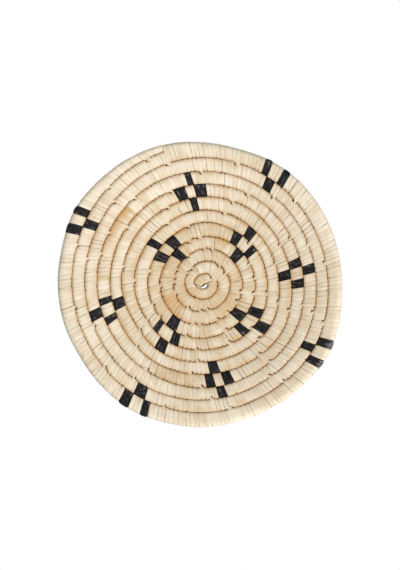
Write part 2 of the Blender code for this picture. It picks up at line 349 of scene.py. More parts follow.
@dataclass(frozen=True)
class DarkStripFinish(Finish):
    """Dyed strips: charcoal with light grey streaks that are partly pale fibres and partly painted sheen,
    rubbed grey ends with a painted highlight, black where they meet and at their edges.
    """

    black: Colour = linear(8, 6, 6)
    charcoal: Colour = linear(42, 40, 40)
    worn_grey_and_sheen: Colour = linear(138, 135, 137)
    roughness: float = 0.35
    rougher: float = 0.3
    gloss: float = 0.06
    bump: float = 0.5
    relief: float = 0.0004

    def surface(self, sheet: NodeSheet) -> Wire:
        """Lays the nodes out.

        Args:
            sheet: The material's sheet.

        Returns:
            The shader, which reads the attributes lay, sink and wear.
        """
        strip, across, depth = sheet.lay()
        sink, wear = sheet.attribute("sink"), sheet.attribute("wear")
        own = sheet.dice(strip.floor() + 0.5)
        fibre = sheet.noise((strip * 2.2, across * 0.8 + own * 7, depth * 0.6), 4, 0.65)
        patch = sheet.noise((strip * 0.6, across * 1.9, depth * 2), 2)
        colour = sheet.mix(fibre.share(0.30, 0.52), self.black, self.charcoal)
        # Pale grey streaks, partly pale fibres and partly painted sheen, growing towards the rubbed ends,
        # which carry a painted highlight.
        streak_and_sheen = (fibre + (patch - 0.5) * 0.5 + wear * 0.22).share(0.56, 0.78)
        colour = sheet.mix(streak_and_sheen * 0.85, colour, self.worn_grey_and_sheen)
        nearest = (strip + 0.5).floor()
        between = (abs(strip - nearest) + (fibre - 0.5) * 0.1).share(0.16, 0.03) * sheet.dice(nearest + 0.2)
        edge = (sink + (fibre - 0.5) * 0.25).share(0.62, 0.95)
        colour = sheet.mix(between.at_least(edge) * 0.92, colour, self.black)
        rough = fibre * self.rougher + self.roughness
        return sheet.coat(colour, rough, self.gloss, fibre, self.bump, self.relief)


@dataclass(frozen=True)
class CoreFibreFinish(Finish):
    """Brown grass splints of the core, seen at the ends; its dark browns also paint the shade of the stitch
    holes and of the folds round the middle opening.
    """

    fibre: Colour = linear(78, 50, 24)
    shade: Colour = linear(34, 20, 9)
    roughness: float = 0.9
    gloss: float = 0.5
    bump: float = 0.6
    relief: float = 0.0005
    scale: float = 900.0

    def surface(self, sheet: NodeSheet) -> Wire:
        """Lays the nodes out.

        Args:
            sheet: The material's sheet.

        Returns:
            The shader, which reads Object coordinates.
        """
        place = sheet.node("ShaderNodeTexCoord", {}, {}, "Object")
        values = {"Vector": place, "Scale": self.scale, "Detail": 3, "Roughness": 0.6}
        splint = sheet.node("ShaderNodeTexNoise", {}, values, "Fac")
        colour = sheet.mix(splint.share(0.35, 0.65), self.shade, self.fibre)
        return sheet.coat(colour, self.roughness, self.gloss, splint, self.bump, self.relief)


@dataclass(frozen=True)
class FloorFinish(Finish):
    """Plain pale floor that fades to the white background away from the plate."""

    pale: Colour = linear(236, 236, 236)
    white: Colour = (1.0, 1.0, 1.0, 1.0)
    near: float = 0.5
    far: float = 1.3

    def surface(self, sheet: NodeSheet) -> Wire:
        """Lays the nodes out.

        Args:
            sheet: The material's sheet.

        Returns:
            The shader, which reads Object coordinates.
        """
        place = sheet.node("ShaderNodeTexCoord", {}, {}, "Object")
        distance = sheet.node("ShaderNodeVectorMath", {"operation": "LENGTH"}, {0: place}, "Value")
        seen = sheet.node("ShaderNodeLightPath", {}, {}, "Is Camera Ray")
        matt = sheet.node("ShaderNodeBsdfDiffuse", {}, {"Color": self.pale})
        white = sheet.node("ShaderNodeEmission", {}, {"Color": self.white, "Strength": 1.0})
        share = distance.share(self.near, self.far) * seen
        return sheet.node("ShaderNodeMixShader", {}, {0: share, 1: matt, 2: white})


@dataclass(frozen=True)
class Dish:
    """The plate's hollow form: a flat floor and a wall that curves up to an even slope."""

    thickness: float = 0.0096
    floor_radius: float = 0.028
    slope_length: float = 0.080
    slope_angle: float = math.radians(18)

    def lay(self, along: Array) -> tuple[Array, Array, Array]:
        """Radius, rise and slope of the middle surface.

        Args:
            along: Distance from the centre along the dish.

        Returns:
            Radius, rise and slope at each distance.
        """
        bend = self.slope_length / self.slope_angle
        curved = np.clip(along - self.floor_radius, 0, self.slope_length)
        rest = np.maximum(along - self.floor_radius - self.slope_length, 0)
        slope = curved / bend
        radius = np.minimum(along, self.floor_radius) + bend * np.sin(slope)
        radius = radius + rest * math.cos(self.slope_angle)
        rise = bend * (1 - np.cos(slope)) + rest * math.sin(self.slope_angle)
        return radius, rise, slope


@dataclass(frozen=True)
class Section:
    """The wrapped coil's section at each of a set of angles."""

    centre: Array
    side: Array
    face: Array
    half_width: Array
    half_thickness: Array


@dataclass
class CoilPath:
    """The law of the coil: one core that winds outwards, clockwise as seen from the front.

    Angles are unwound degrees: 0 points right, they grow clockwise, and each turn adds 360.
    """

    dish: Dish = field(default_factory=Dish)
    pitch: float = 0.0134
    turn_gap: float = 0.00004
    hole_half_length: float = 0.0035
    hole_half_width: float = 0.0015
    hole_azimuth: float = 32.0
    hole_until: float = 150.0
    centre_x: float = -0.0005
    centre_z: float = 0.0035
    start: float = -206.0
    end: float = 3853.0
    centre_move: Pair = (450.0, 810.0)
    start_swell: Pair = (-206.0, -120.0)
    end_taper: Pair = (3804.0, 3853.0)
    start_thickness_share: float = 0.80
    end_thickness_share: float = 0.72
    oval: Pair = (0.007, 102.0)
    triangle: Pair = (0.006, -23.0)
    full_rounds_from: float = 990.0
    seam_lag_share: float = 0.02
    inner_seam_shares: tuple[Pair, ...] = (
        (205, 0.94), (270, 0.99), (340, 1.08), (450, 1.02), (503, 1.27), (559, 1.59),
        (637, 1.86), (705, 2.06), (810, 2.20), (900, 2.42), (990, 2.73),
    )
    shifts_from: float = 390.0
    shift_step: float = 30.0
    shift_shares: tuple[float, ...] = (
        -0.12, -0.08, -0.04, -0.11, 0.01, 0.05, 0.07, -0.02, 0.01, 0.0, -0.05, -0.02,
        -0.06, -0.03, 0.01, 0.1, 0.1, 0.06, -0.1, -0.14, 0.05, -0.01, 0.05, 0.09,
        0.02, -0.02, 0.08, 0.14, 0.07, 0.11, -0.12, -0.14, -0.06, 0.01, 0.1, 0.12,
        0.09, 0.03, 0.16, 0.19, 0.04, 0.07, -0.07, -0.12, 0.09, 0.01, 0.17, 0.08,
        0.19, 0.08, 0.09, 0.19, 0.03, 0.18, 0.0, -0.05, 0.05, 0.04, 0.02, 0.03,
        0.23, 0.09, 0.07, 0.21, -0.02, 0.24, 0.13, 0.03, 0.12, 0.2, 0.05, 0.04,
        0.28, 0.13, 0.06, 0.14, 0.05, 0.14, 0.13, 0.1, 0.16, 0.21, 0.1, 0.08,
        0.19, 0.09, 0.23, 0.1, 0.07, 0.24, 0.21, 0.25, 0.19, 0.17, 0.17, 0.08,
        0.17, 0.05, 0.19, 0.23, 0.12, 0.24, 0.21, 0.28, 0.28, 0.17, 0.09, 0.03,
        0.18, 0.04, 0.2, 0.22, 0.14, 0.27, 0.32, 0.27,
    )
    rim_from: float = 3870.0
    rim_step: float = 15.0
    rim_shares: tuple[float, ...] = (
        0.40, 0.22, 0.38, 0.42, 0.33, 0.21, 0.11, 0.19, 0.41, 0.21, 0.15, 0.20,
        0.34, 0.30, 0.41, 0.26, 0.16, 0.31, 0.36, 0.33, 0.49, 0.18, -0.04,
    )
    rim_ends: tuple[Pair, Pair] = ((3853.1, 0.74), (4213, -0.25))
    smoothing: float = 8.5
    sharp_reach: float = 12.0
    table_step: float = 0.1
    table_steps: tuple[int, int] = (-6000, 47000)
    dip_reach: float = 0.0065
    dip_sharpness: float = 1.15
    dips: Sequence[Pair] = ()
    table_angles: Array = field(init=False)
    table_radii: Array = field(init=False)
    table_lengths: Array = field(init=False)

    def __post_init__(self) -> None:
        """Tabulates the length along the coil and, with the stitches' dips, the seam's radius."""
        self.table_angles = np.arange(*self.table_steps) * self.table_step
        radii = self._law(self.table_angles)
        reach = round(self.smoothing / self.table_step)
        window = np.hanning(reach * 2 + 1)
        smooth = np.convolve(np.pad(radii, reach, mode="edge"), window / window.sum(), mode="valid")
        sharp = np.abs(self.table_angles - self.end) < self.sharp_reach
        self.table_radii = np.where(sharp, radii, smooth)
        steps = np.linalg.norm(np.diff(self._middle(self.table_angles), axis=0), axis=1)
        self.table_lengths = np.concatenate([[0.0], np.cumsum(steps)])
        for angle, depth in self.dips:
            before = np.radians(angle - self.table_angles) * self.pitch * angle / TURN
            near = np.clip(1 - before / self.dip_reach, 0, 1) * (before >= 0)
            self.table_radii = self.table_radii - depth * near ** self.dip_sharpness

    def _law(self, angle: Array) -> Array:
        """The seam's radius before smoothing.

        Args:
            angle: Unwound angles.

        Returns:
            The radius at each angle.
        """
        edge = float(self._hole(np.array(self.hole_until)))
        knots = np.array([(self.hole_until, edge / self.pitch), *self.inner_seam_shares])
        near = self.pitch * np.interp(angle, knots[:, 0], knots[:, 1])
        far = self.pitch * (angle / TURN - self.seam_lag_share)
        radius = np.where(angle <= self.hole_until, self._hole(angle), near)
        radius = np.where(angle >= self.full_rounds_from, far, radius)
        return radius + self.pitch * self._shift(angle)

    def _hole(self, angle: Array) -> Array:
        """The outline of the oval hole.

        Args:
            angle: Unwound angles.

        Returns:
            Its radius at each angle.
        """
        turned = np.radians(-angle - self.hole_azimuth)
        across = np.hypot(self.hole_half_width * np.cos(turned), self.hole_half_length * np.sin(turned))
        return self.hole_half_length * self.hole_half_width / across

    def _shift(self, angle: Array) -> Array:
        """How far the hand-made seam leaves the even spiral.

        Args:
            angle: Unwound angles.

        Returns:
            The shift at each angle, as a share of the pitch.
        """
        seam = [(self.shifts_from + self.shift_step * k, s) for k, s in enumerate(self.shift_shares)]
        rim = [(self.rim_from + self.rim_step * k, s) for k, s in enumerate(self.rim_shares)]
        first, last = (self.shifts_from - self.shift_step, 0.0), (self.end, seam[-1][1])
        knots = np.array([first, *seam, last, self.rim_ends[0], *rim, self.rim_ends[1]])
        return np.interp(angle, knots[:, 0], knots[:, 1])

    def seam(self, angle: Array) -> Array:
        """The inner seam on the dish laid flat about the centre of the full rounds.

        Args:
            angle: Unwound angles, of any shape.

        Returns:
            Points, two numbers each.
        """
        angle = np.asarray(angle, float)
        azimuth = np.radians(-angle)
        oval = self.oval[0] * np.cos(2 * (azimuth - math.radians(self.oval[1])))
        triangle = self.triangle[0] * np.cos(3 * (azimuth - math.radians(self.triangle[1])))
        radius = np.interp(angle, self.table_angles, self.table_radii) * (1 + oval + triangle)
        still = 1 - eased(angle, *self.centre_move)
        x = -self.centre_x * still + radius * np.cos(azimuth)
        z = -self.centre_z * still + radius * np.sin(azimuth)
        return np.stack([x, z], axis=-1)

    def _middle(self, angle: Array) -> Array:
        """The coil's middle, halfway between its two seams, on the dish laid flat."""
        return (self.seam(angle) + self.seam(angle + TURN)) / 2

    def section(self, angle: Array) -> Section:
        """The wrapped coil's section.

        Args:
            angle: Unwound angles, of any shape.

        Returns:
            Its centre, axes and half sizes at each angle.
        """
        angle = np.asarray(angle, float)
        inside = self.seam(angle)
        across = self.seam(angle + TURN) - inside
        middle = inside + across / 2
        width = np.linalg.norm(across, axis=-1)
        start = self.start_thickness_share
        thick = self.dish.thickness / 2 * (start + (1 - start) * eased(angle, *self.start_swell))
        thick = thick * (1 - (1 - self.end_thickness_share) * eased(angle, *self.end_taper))
        length = np.linalg.norm(middle, axis=-1)
        radius, rise, slope = self.dish.lay(length)
        outward = middle / length[..., None]
        side = across / width[..., None]
        along = (side * outward).sum(axis=-1)
        level = np.cos(slope)[..., None] * along[..., None] * outward + side - along[..., None] * outward
        x = self.centre_x + outward[..., 0] * radius
        z = self.centre_z + outward[..., 1] * radius
        centre = np.stack([x, -self.dish.thickness / 2 - rise, z], axis=-1)
        side_axis = np.stack([level[..., 0], -np.sin(slope) * along, level[..., 1]], axis=-1)
        sink = -np.sin(slope)
        face_axis = np.stack([sink * outward[..., 0], -np.cos(slope), sink * outward[..., 1]], axis=-1)
        return Section(centre, side_axis, face_axis, (width - self.turn_gap) / 2, thick)

    def length_at(self, angle: Array | float) -> Array:
        """Length along the coil's middle, from the table's start, at each angle."""
        return np.interp(angle, self.table_angles, self.table_lengths)

    def angle_at(self, length: Array | float) -> Array:
        """The unwound angle at each length along the coil."""
        return np.interp(length, self.table_lengths, self.table_angles)

    def radius_at(self, angle: Array | float) -> Array:
        """How far the coil's middle lies from the centre at each angle, along the dish."""
        return np.linalg.norm(self._middle(np.asarray(angle, float)), axis=-1)


@dataclass(frozen=True)
class Stretch:
    """A length of the coil in one kind of strip."""

    name: str
    kind: Wrap
    start: float
    end: float
    first: int
    borders: Array


@dataclass
class StripLayout:
    """Where the dark squares lie, and where each strip of the coil starts and ends."""

    path: CoilPath
    seed: int = 41
    light_width: float = 0.0045
    dark_width: float = 0.0019
    jitter: float = 0.16
    join_azimuth: float = 342.0
    further_out: tuple[tuple[str, int], ...] = (("inner", 0), ("left", 1), ("right", 1), ("outer", 2))
    motifs: tuple[tuple[int, tuple[Pair, ...]], ...] = (
        (2, ((313.5, 327), (300.5, 310.5), (322.5, 330), (308.5, 317))),
        (2, ((221, 235), (205, 216.5), (227.5, 238.5), (215, 221.5))),
        (3, ((120.5, 133.5), (113, 121.5), (133.5, 140), (120, 128.5))),
        (3, ((36, 49), (25, 34.5), (46.5, 55), (33, 41.5))),
        (5, ((351.5, 358), (345.5, 351), (357.5, 363), (350, 355))),
        (5, ((260.5, 265.5), (252.5, 259.5), (264.5, 271.5), (260, 263.5))),
        (6, ((163.5, 170.5), (157, 161.5), (168, 172), (161, 166.5))),
        (6, ((80, 87), (73.5, 79), (84, 89.5), (78.5, 83))),
        (8, ((301, 305.5), (297, 300.5), (305.5, 309))),
        (9, ((205, 209.5), (200.5, 204.5), (208.5, 212))),
        (9, ((117.5, 123), (113.5, 117), (122, 126.5))),
        (9, ((29.5, 33.5), (24.5, 28.5), (33.5, 37))),
    )

    def squares(self) -> list[tuple[str, float, float]]:
        """Lists the dark squares.

        Returns:
            Name and limits of each, in order along the coil.
        """
        found = []
        for number, (rounds, spans) in enumerate(self.motifs, start=1):
            for (place, further), (low, high) in zip(self.further_out, spans):
                turns = TURN * (rounds + further)
                found.append((f"{number:02d}_{place}", turns + low, turns + high))
        return sorted(found, key=lambda square: square[1])

    def joins(self) -> list[float]:
        """Where one turn's piece ends and the next begins."""
        count = math.ceil((self.path.end - self.join_azimuth) / TURN)
        return [self.join_azimuth + TURN * k for k in range(count)]

    def stretches(self) -> list[Stretch]:
        """Cuts the whole coil into light and dark stretches, and each into strips.

        Returns:
            The stretches in order along the coil, none of them across a join.
        """
        dice = np.random.default_rng(self.seed)
        squares = {low: (name, high) for name, low, high in self.squares()}
        highs = {high for _, high in squares.values()}
        ends = {self.path.start, self.path.end - TURN, self.path.end}
        marks = sorted({*ends, *self.joins(), *squares, *highs})
        made, number = [], 0
        for low, high in zip(marks, marks[1:]):
            kind = Wrap.DARK if low in squares else Wrap.LIGHT
            width = self.dark_width if kind is Wrap.DARK else self.light_width
            first, last = self.path.length_at(np.array([low, high]))
            count = max(1, round(float(last - first) / width))
            jitter = dice.uniform(-1, 1, count + 1) * self.jitter
            jitter[[0, -1]] = 0
            lengths = first + (np.arange(count + 1) + jitter) / count * (last - first)
            name = squares[low][0] if kind is Wrap.DARK else ""
            made.append(Stretch(name, kind, low, high, number, self.path.angle_at(lengths)))
            number += count
        return made

    def stitch_places(
        self, rounds: Sequence[tuple[int, Sequence[float]]], clear: float
    ) -> list[tuple[int, float, int]]:
        """Finds the strip border nearest to each stitch, away from the dark squares.

        Args:
            rounds: The azimuths of the stitches on the inner seam of each round.
            clear: Least distance along the coil from a dark square of either round.

        Returns:
            Each stitch's round, its unwound angle and the number of its strip.
        """
        light = [s for s in self.stretches() if s.kind is Wrap.LIGHT]
        borders = np.concatenate([s.borders[1:-1] for s in light])
        numbers = np.concatenate([s.first + np.arange(len(s.borders) - 2) for s in light])
        away = np.degrees(clear / self.path.radius_at(borders - TURN))
        for _, low, high in self.squares():
            for at in (borders, borders - TURN):
                borders = np.where((at > low - away) & (at < high + away), math.inf, borders)
        found = []
        for count, azimuths in rounds:
            for azimuth in azimuths:
                nearest = int(np.argmin(np.abs(borders - (TURN * count + azimuth))))
                found.append((count, float(borders[nearest]), int(numbers[nearest])))
        return found


class Bench:
    """Blender's operators, as used by hand on one piece at a time."""

    merge_distance = 1e-6

    @staticmethod
    def clear_selection() -> None:
        """Leaves object mode with nothing selected."""
        if bpy.context.mode != "OBJECT":
            bpy.ops.object.mode_set(mode="OBJECT")
        bpy.ops.object.select_all(action="DESELECT")

    @classmethod
    def take(cls, add: Callable[..., Any], **sizes: Any) -> tuple[Piece, Array]:
        """Adds a primitive to shape.

        Args:
            add: The operator that adds it.
            sizes: The operator's settings.

        Returns:
            The object and its vertices.
        """
        cls.clear_selection()
        add(**sizes)
        piece = bpy.context.active_object
        flat = np.empty(len(piece.data.vertices) * 3)
        piece.data.vertices.foreach_get("co", flat)
        return piece, flat.reshape(-1, 3)

    @classmethod
    def ball(cls, rings: int) -> tuple[Piece, Array]:
        """Adds a ball of radius 1 with eight sides."""
        return cls.take(bpy.ops.mesh.primitive_uv_sphere_add, segments=8, ring_count=rings, radius=1.0)

    @classmethod
    def grid(cls, columns: int, rows: int) -> tuple[Piece, Array, Array]:
        """Adds a flat grid to shape.

        Args:
            columns: Faces along the grid.
            rows: Faces across it.

        Returns:
            The object, and each vertex's column and row.
        """
        add = bpy.ops.mesh.primitive_grid_add
        piece, flat = cls.take(add, x_subdivisions=columns, y_subdivisions=rows, size=1)
        low, high = flat.min(axis=0), flat.max(axis=0)
        column = np.rint((flat[:, 0] - low[0]) / (high[0] - low[0]) * columns)
        row = np.rint((flat[:, 1] - low[1]) / (high[1] - low[1]) * rows)
        return piece, column.astype(int), row.astype(int)

    @staticmethod
    def place(piece: Piece, points: Array) -> None:
        """Moves every vertex of a piece to its own point."""
        piece.data.vertices.foreach_set("co", np.asarray(points, np.float32).ravel())
        piece.data.update()

    @staticmethod
    def mark(piece: Piece, **layers: Array) -> None:
        """Stores values for each vertex, for the materials.

        Args:
            piece: The piece.
            layers: A number or a vector for each vertex, by the name that is read.
        """
        for name, values in layers.items():
            kind, slot = ("FLOAT_VECTOR", "vector") if values.ndim == 2 else ("FLOAT", "value")
            layer = piece.data.attributes.new(name, kind, "POINT")
            layer.data.foreach_set(slot, np.asarray(values, np.float32).ravel())

    @classmethod
    def close(cls, piece: Piece) -> None:
        """Merges a rolled-up grid along its seam, fills its ends and turns its faces outwards.

        Args:
            piece: The grid, with its points placed.
        """
        bpy.context.view_layer.objects.active = piece
        bpy.ops.object.mode_set(mode="EDIT")
        bpy.ops.mesh.select_all(action="SELECT")
        bpy.ops.mesh.remove_doubles(threshold=cls.merge_distance)
        bpy.ops.mesh.fill_holes(sides=0)
        bpy.ops.mesh.select_all(action="SELECT")
        bpy.ops.mesh.normals_make_consistent(inside=False)
        bpy.ops.object.mode_set(mode="OBJECT")

    @classmethod
    def join(cls, name: str, parts: Sequence[Piece]) -> Piece:
        """Makes several meshes one piece.

        Args:
            name: The piece's name.
            parts: The meshes.

        Returns:
            The piece.
        """
        cls.clear_selection()
        for part in parts:
            part.select_set(True)
        bpy.context.view_layer.objects.active = parts[0]
        if len(parts) > 1:
            bpy.ops.object.join()
        piece = bpy.context.active_object
        piece.name = name
        piece.data.name = name
        return piece

    @classmethod
    def finish(cls, piece: Piece, material: bpy.types.Material, crease: float) -> None:
        """Gives a piece its material and smooth shading.

        Args:
            piece: The piece.
            material: Its material.
            crease: The angle in degrees past which its edges stay sharp.
        """
        cls.clear_selection()
        piece.select_set(True)
        bpy.context.view_layer.objects.active = piece
        piece.data.materials.clear()
        piece.data.materials.append(material)
        bpy.ops.object.shade_smooth_by_angle(angle=math.radians(crease))


@dataclass
class CoilSurface:
    """Points on the wrapped coil: a rounded section, pressed in where two strips meet."""

    path: CoilPath
    points_round: int = 40
    squareness: float = 3.75
    roundness: float = 2.7
    rim_ease: float = 30.0
    lip_ease: Pair = (30.0, 90.0)
    squeeze: float = 0.0005
    overlap: float = 0.00022
    overlap_ease: Pair = (400.0, 900.0)
    bridge: float = 0.0013
    most_across: float = 0.999
    least_radius: float = 0.012

    def around(self) -> Array:
        """The parameter of each point round a section, closed, in radians."""
        return np.linspace(0, 2 * math.pi, self.points_round + 1)

    def exponent(self, angle: Array, across: Array) -> Array:
        """How square the section is: rounder on the rim's outer side and at the middle opening.

        Args:
            angle: Unwound angles.
            across: Places across the coil, of which only the sign counts.

        Returns:
            The exponent of the section's outline.
        """
        rim_start = self.path.end - TURN
        rim = eased(angle, rim_start, rim_start + self.rim_ease) * (across > 0)
        lip = eased(-angle, -self.lip_ease[1], -self.lip_ease[0]) * (across < 0)
        return self.squareness + (self.roundness - self.squareness) * np.maximum(rim, lip)

    def outline(self, turn: Array, exponent: Array) -> tuple[Array, Array]:
        """The section's outline.

        Args:
            turn: The parameter of each point, in radians.
            exponent: How square the section is there.

        Returns:
            Shares across and through the section.
        """
        cosine, sine = np.cos(turn), np.sin(turn)
        x = np.sign(cosine) * np.abs(cosine) ** (2 / exponent)
        y = np.sign(sine) * np.abs(sine) ** (2 / exponent)
        return x, y

    def point(self, angle: Array, x: Array, y: Array, exponent: Array, lift: Array) -> Array:
        """A point on the section, lifted along the section's own normal.

        Args:
            angle: Unwound angles.
            x: Share across, -1 at the inner seam and 1 at the outer one.
            y: Share through, 1 on the front and -1 on the back.
            exponent: How square the section is there.
            lift: Height above the plain section.

        Returns:
            The points.
        """
        section = self.path.section(angle)
        pressed = np.where(x > 0, angle < self.path.end - TURN, angle > self.path.hole_until)
        wide = section.half_width + self.squeeze * pressed
        thick = section.half_thickness
        nx = np.sign(x) * np.abs(x) ** (exponent - 1) / wide
        ny = np.sign(y) * np.abs(y) ** (exponent - 1) / thick
        size = np.hypot(nx, ny)
        inner_rounds = eased(-angle, -self.overlap_ease[1], -self.overlap_ease[0])
        most = section.half_width + self.overlap * pressed * inner_rounds
        u = np.clip(x * wide, -most, most) + nx / size * lift
        v = y * thick + ny / size * lift
        return section.centre + section.side * u[..., None] + section.face * v[..., None]

    def on_face(self, angle: Array, x: Array, side: Side, lift: Array) -> Array:
        """A point on the front or the back.

        Args:
            angle: Unwound angles.
            x: Share across.
            side: Front or back.
            lift: Height above the face.

        Returns:
            The points.
        """
        x = np.clip(x, -self.most_across, self.most_across)
        exponent = np.full_like(x, self.squareness)
        y = side.value * (1 - np.abs(x) ** exponent) ** (1 / exponent)
        return self.point(angle, x, y, exponent, lift)

    def at_seam(self, angle: Array, inward: Array, side: Side, lift: Array) -> Array:
        """A point near a seam, on the face of the round outside it or of the one inside it.

        Args:
            angle: Unwound angles of the outer round.
            inward: Distance from the seam, negative into the outer round.
            side: Front or back.
            lift: Height above the coil's surface.

        Returns:
            The points.
        """
        outer = self.path.section(angle).half_width
        inner = self.path.section(angle - TURN).half_width
        out = self.on_face(angle, -1 + np.maximum(-inward, self.bridge) / outer, side, lift)
        back = self.on_face(angle - TURN, 1 - np.maximum(inward, self.bridge) / inner, side, lift)
        share = np.clip((inward + self.bridge) / (2 * self.bridge), 0, 1)[..., None]
        return out * (1 - share) + back * share

    def beside(self, angle: float, along: Array) -> Array:
        """The unwound angles at distances along the seam from one angle."""
        radius = max(float(self.path.radius_at(angle - TURN / 2)), self.least_radius)
        return angle + np.degrees(along / radius)


@dataclass(frozen=True)
class GoldenPatch:
    """A length of the coil whose strips are more golden than the rest."""

    low: float
    high: float
    low_share: float
    high_share: float
    outer_only: float = 0.0
    fade: float = 1.2

    def share(self, angle: Array, across: Array) -> Array:
        """How golden the strips are.

        Args:
            angle: Unwound angles.
            across: Places across the coil, -1 inside and 1 outside.

        Returns:
            The share for each.
        """
        begun = eased(angle, self.low, self.low + self.fade)
        unfinished = eased(-angle, -self.high, -self.high + self.fade)
        along = np.clip((angle - self.low) / (self.high - self.low), 0, 1)
        level = self.low_share + (self.high_share - self.low_share) * along
        return begun * unfinished * level * (1 - self.outer_only * eased(-across, -0.6, 0.5))


@dataclass
class WrappedCoil:
    """The strips wound round the core, one closed bar for each stretch."""

    surface: CoilSurface
    lean: float = 0.0013
    full_lean_radius: float = 0.03
    least_radius: float = 0.006
    groove: float = 0.00010
    dark_groove: float = 0.00014
    groove_depths: Pair = (0.35, 1.5)
    crown: float = 0.00008
    rim_notch: float = 0.00045
    notched_from: float = 1.1
    uneven: float = 0.00007
    most_uneven: float = 0.00012
    edge_wander: float = 0.00035
    straight_near: float = 2.5
    square_wander: float = 0.0004
    dark_bulge: float = 0.0009
    frayed: tuple[str, ...] = ("12_left", "12_right")
    most_wear_and_glint: float = 0.7
    light_steps: tuple[float, ...] = (0.0, 0.10, 0.36, 0.64, 0.90)
    dark_steps: tuple[float, ...] = (0.0, 0.2, 0.5, 0.8)
    golden: tuple[GoldenPatch, ...] = ()
    seed: int = 7

    def warmth(self, radius: Array) -> Array:
        """How much warmer the strips are in the inner rounds, and paler towards the rim."""
        middle = 0.36 * eased(-radius, -0.080, -0.022) - 0.22 * eased(-radius, -0.040, -0.012)
        return middle - 0.16 * eased(radius, 0.080, 0.130)

    def rings(self, stretch: Stretch) -> tuple[Array, Array, Array]:
        """The rings along a stretch.

        Args:
            stretch: The stretch of the coil.

        Returns:
            Each ring's strip number with its share, its angle, and its place within the strip.
        """
        steps = self.dark_steps if stretch.kind is Wrap.DARK else self.light_steps
        count = len(stretch.borders) - 1
        number = np.append((np.arange(count)[:, None] + np.array(steps)[None, :]).ravel(), count)
        angle = np.interp(number, np.arange(count + 1), stretch.borders)
        return number + stretch.first, angle, number - np.floor(number)

    def bar(self, stretch: Stretch) -> Piece:
        """Models one stretch as a closed bar.

        Args:
            stretch: The stretch of the coil.

        Returns:
            The new object, with what its finish reads.
        """
        path, dark = self.surface.path, stretch.kind is Wrap.DARK
        dice = np.random.default_rng(self.seed + stretch.first)
        number, angle, within = self.rings(stretch)
        piece, column, row = Bench.grid(len(angle) - 1, self.surface.points_round)
        turn = self.surface.around()[row]
        at, within_at = angle[column], within[column]
        exponent = self.surface.exponent(at, np.cos(turn))
        x, y = self.surface.outline(turn, exponent)
        radius = np.maximum(path.radius_at(at), self.least_radius)
        rim_start = path.end - TURN
        # The borders between strips lean and wander, but stand straight at the coil's end.
        wander = np.where(within == 0, dice.normal(0, self.edge_wander, (2, len(angle))), 0)
        for end, limit in ((0, stretch.start), (-1, stretch.end)):
            shift, bend = self.end_sway(limit) * (limit != path.start)
            wander[:, end] = shift
            wander[0, end] += bend
        sway = wander[0][column] * (1 - x) / 2 + wander[1][column] * (1 + x) / 2
        from_step = np.minimum(np.abs(at - path.end), np.abs(at - path.end + TURN))
        freedom = eased(from_step, 0, self.straight_near) * np.clip(radius / self.full_lean_radius, 0, 1)
        leaning = np.degrees((sway - self.lean * x) * freedom / radius)
        # Grooves at the borders, deeper notches at the rim, and a low crown on each strip.
        depth = dice.uniform(*self.groove_depths, len(angle))[column]
        rim = eased(at, rim_start + 4, rim_start + 30) * eased(x, 0.35, 0.9)
        notch = (self.dark_groove if dark else self.groove) * depth
        notch = notch + self.rim_notch * rim * (depth > self.notched_from)
        crown = self.crown * np.sin(math.pi * within_at)
        count = len(stretch.borders) - 1
        along = number[column] - stretch.first
        height = dice.normal(0, self.uneven, count + 1)[np.minimum(along, count).astype(int)]
        height = np.clip(height, -self.most_uneven, self.most_uneven)
        free = (at >= rim_start) * (x > 0)
        flat = np.maximum(eased(np.abs(y), 0.45, 0.8), free)
        lift = np.where(within_at == 0, -notch, crown + height) * flat
        from_ends = np.minimum(along, stretch.first + count - number[column])
        if dark:
            bulge = self.dark_bulge * eased(from_ends, 0, 1.4) - self.dark_bulge / 3
            lift = lift + free * eased(x, 0.4, 0.9) * bulge
        Bench.place(piece, self.surface.point(at + leaning, x, y, exponent, lift))
        lay = np.stack([number[column], x, y], axis=-1)
        if dark:
            sink = np.maximum(np.abs(x) * (1 - 0.3 * free), 1 - eased(from_ends, 0, 0.9) * 0.6)
            Bench.mark(piece, lay=lay, sink=sink, wear=self.wear(stretch, x, dice))
        else:
            # Painted shade: a little more of the seam tint and shade on the inner side of each round, a
            # little less on the outer side.
            seam_tan_and_shade = np.where(x > 0, -0.04, 0.015) * eased(np.abs(x), 0.7, 0.88)
            gold = np.max([np.zeros(len(at)), *(patch.share(at, x) for patch in self.golden)], axis=0)
            sink = np.abs(x) * (1 - 0.8 * free) + seam_tan_and_shade
            Bench.mark(piece, lay=lay, sink=sink, gold=gold + self.warmth(radius))
        Bench.close(piece)
        return piece

    def wear(self, stretch: Stretch, across: Array, dice: Dice) -> Array:
        """How far dark strips are rubbed grey, with a painted highlight, towards one end of their square: the
        rim's last pair most.

        Args:
            stretch: The strips' stretch.
            across: Places across the coil.
            dice: The source of which end and how much.

        Returns:
            The rubbed grey with its painted highlight at each place.
        """
        hand, amount = 1, 1.0
        if stretch.name not in self.frayed:
            hand, amount = dice.choice((-1, 1)), dice.uniform(0, self.most_wear_and_glint)
        return amount * eased(hand * across, 0.25, 0.8)

    def end_sway(self, angle: float) -> Array:
        """How a border between two stretches bends: a shift at its middle and one towards its sides."""
        return np.random.default_rng(round((angle + TURN) * 10)).normal(0, self.square_wander, 2)


